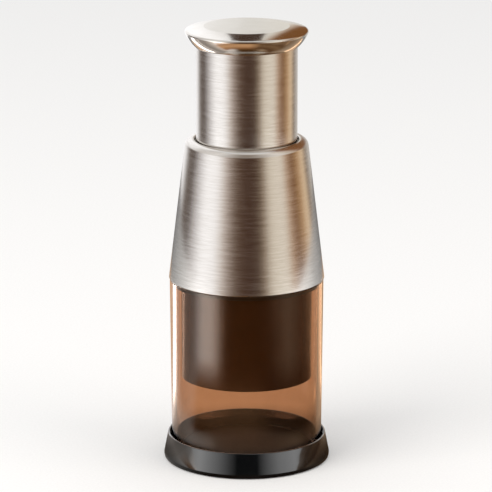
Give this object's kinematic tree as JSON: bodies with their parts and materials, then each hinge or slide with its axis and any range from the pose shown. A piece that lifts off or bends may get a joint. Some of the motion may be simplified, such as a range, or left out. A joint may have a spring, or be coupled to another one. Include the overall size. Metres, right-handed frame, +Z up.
{
  "type": "garlic press",
  "caption": "Hand chopper for garlic: press the knob and a turning zigzag blade drops through its wiper into a clear cup, then springs back.",
  "frame": {"origin": "centre of the base on the table", "axes": "+Z up the axis, from the base to the knob"},
  "size_m": [0.078, 0.078, 0.2063],
  "materials": {
    "black_gloss_plastic": "polished moulded ABS",
    "black_matt_plastic": "fine spark-textured polypropylene",
    "grey_silicone": "matt silicone",
    "clear_plastic": "clear polished SAN",
    "brushed_steel": "brushed round the axis",
    "polished_steel": "bright polished stainless",
    "spring_steel": "drawn wire",
    "bare_steel": "turned, plain",
    "blade_steel": "ground edge",
    "white_acetal": "machined acetal",
    "dark_guard_plastic": "satin dark brown moulding"
  },
  "bodies": {
    "base": {"base_cap": "black_gloss_plastic", "chopping_board": "black_matt_plastic", "foot_ring": "grey_silicone"},
    "cup": {"clear_cup": "clear_plastic"},
    "head": {"outer_shell": "brushed_steel", "inner_housing": "black_matt_plastic", "cup_grip_ring": "grey_silicone", "guide_ring": "white_acetal", "blade_guard": "dark_guard_plastic", "wiper_clip": "spring_steel", "ratchet_ring": "white_acetal", "drive_nut": "white_acetal", "nut_cover": "bare_steel", "cover_screws": "bare_steel", "press_bumper": "grey_silicone", "return_spring": "spring_steel"},
    "plunger": {"press_knob": "polished_steel", "knob_insert": "black_matt_plastic", "push_tube": "brushed_steel", "stop_ring": "black_matt_plastic", "rest_bumper": "grey_silicone", "swivel_bush": "white_acetal", "thrust_washer": "bare_steel"},
    "blade_rotor": {"drive_shaft": "bare_steel", "end_washer": "bare_steel", "end_screw": "bare_steel", "blade_holder": "black_matt_plastic", "zigzag_blade": "blade_steel", "hub_screw": "bare_steel"},
    "wiper": {"wiper_plate": "dark_guard_plastic"}
  },
  "joints": [
    {"name": "cup_lift", "type": "slide", "parent": "base", "child": "cup", "axis": [0, 0, 1], "range_m": [0, 0.06]},
    {"name": "head_lift", "type": "slide", "parent": "cup", "child": "head", "axis": [0, 0, 1], "range_m": [0, 0.06]},
    {"name": "press", "type": "slide", "parent": "head", "child": "plunger", "axis": [0, 0, -1], "range_m": [0, 0.037], "stiffness_N_per_m": 675, "springref_m": -0.0148, "deforming": ["return_spring"]},
    {"name": "blade_turn", "type": "hinge", "parent": "plunger", "child": "blade_rotor", "pos_m": [0, 0, 0], "axis": [0, 0, 1], "range_deg": [0, 42]},
    {"name": "wiper_turn", "type": "hinge", "parent": "head", "child": "wiper", "pos_m": [0, 0, 0], "axis": [0, 0, 1], "range_deg": [0, 42]}
  ],
  "couplings": [
    {"joint": "blade_turn", "follows": "press", "rad_per_m": 19.635},
    {"joint": "wiper_turn", "follows": "press", "rad_per_m": 19.635}
  ]
}
